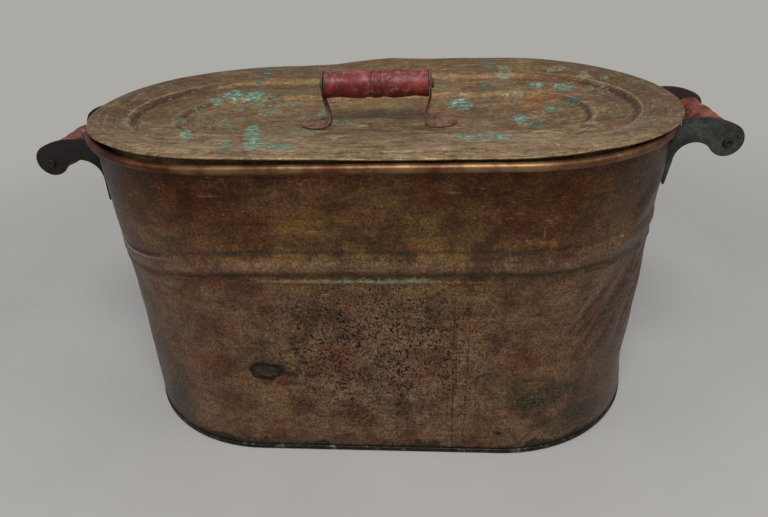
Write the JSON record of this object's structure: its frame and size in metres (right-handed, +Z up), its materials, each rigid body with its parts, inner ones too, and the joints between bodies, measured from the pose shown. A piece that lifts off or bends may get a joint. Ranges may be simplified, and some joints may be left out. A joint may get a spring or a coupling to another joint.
{
  "type": "laundry copper boiler",
  "caption": "Oval sheet-copper wash boiler with a wired rim, beaded sides, a loose stepped lid, and turned wooden grips on iron brackets at both ends and on the lid.",
  "frame": {"origin": "middle of the tank's underside, on the surface that it stands on", "axes": "+X along the long side to the right end, +Y to the back, +Z up"},
  "size_m": [0.6916, 0.3429, 0.3644],
  "materials": {
    "tank_copper": "dark tarnished copper",
    "lid_copper": "dull olive-brown tarnished copper",
    "bracket_iron": "dark oxidised iron",
    "rusty_iron": "rusty iron",
    "red_wood": "worn red paint"
  },
  "bodies": {
    "tank": {"tank_wall": "tank_copper", "tank_bottom": "tank_copper", "rim_wire": "rusty_iron", "left_front_bracket": "bracket_iron", "left_back_bracket": "bracket_iron", "right_front_bracket": "bracket_iron", "right_back_bracket": "bracket_iron", "left_handle_rod": "bracket_iron", "right_handle_rod": "bracket_iron", "left_front_rivet_1": "bracket_iron", "left_front_rivet_2": "bracket_iron", "left_front_rivet_3": "bracket_iron", "left_back_rivet_1": "bracket_iron", "left_back_rivet_2": "bracket_iron", "left_back_rivet_3": "bracket_iron", "right_front_rivet_1": "bracket_iron", "right_front_rivet_2": "bracket_iron", "right_front_rivet_3": "bracket_iron", "right_back_rivet_1": "bracket_iron", "right_back_rivet_2": "bracket_iron", "right_back_rivet_3": "bracket_iron"},
    "lid": {"lid_pan": "lid_copper", "lid_collar": "lid_copper", "lid_strap_left": "rusty_iron", "lid_strap_right": "rusty_iron", "lid_rod": "rusty_iron", "lid_rivet_left_front": "rusty_iron", "lid_rivet_left_back": "rusty_iron", "lid_rivet_right_front": "rusty_iron", "lid_rivet_right_back": "rusty_iron"},
    "lid_handle_grip": {"lid_grip": "red_wood"},
    "left_handle_grip": {"left_grip": "red_wood"},
    "right_handle_grip": {"right_grip": "red_wood"}
  },
  "joints": [
    {"name": "lid_lift", "type": "slide", "parent": "tank", "child": "lid", "axis": [0, 0, 1], "range_m": [0, 0.15]},
    {"name": "lid_grip_turn", "type": "hinge", "parent": "lid", "child": "lid_handle_grip", "pos_m": [0, 0, 0.3504], "axis": [1, 0, 0], "continuous": true},
    {"name": "left_grip_turn", "type": "hinge", "parent": "tank", "child": "left_handle_grip", "pos_m": [-0.3311, 0, 0.291], "axis": [0, 1, 0], "continuous": true},
    {"name": "right_grip_turn", "type": "hinge", "parent": "tank", "child": "right_handle_grip", "pos_m": [0.3311, 0, 0.3035], "axis": [0, 1, 0], "continuous": true}
  ]
}
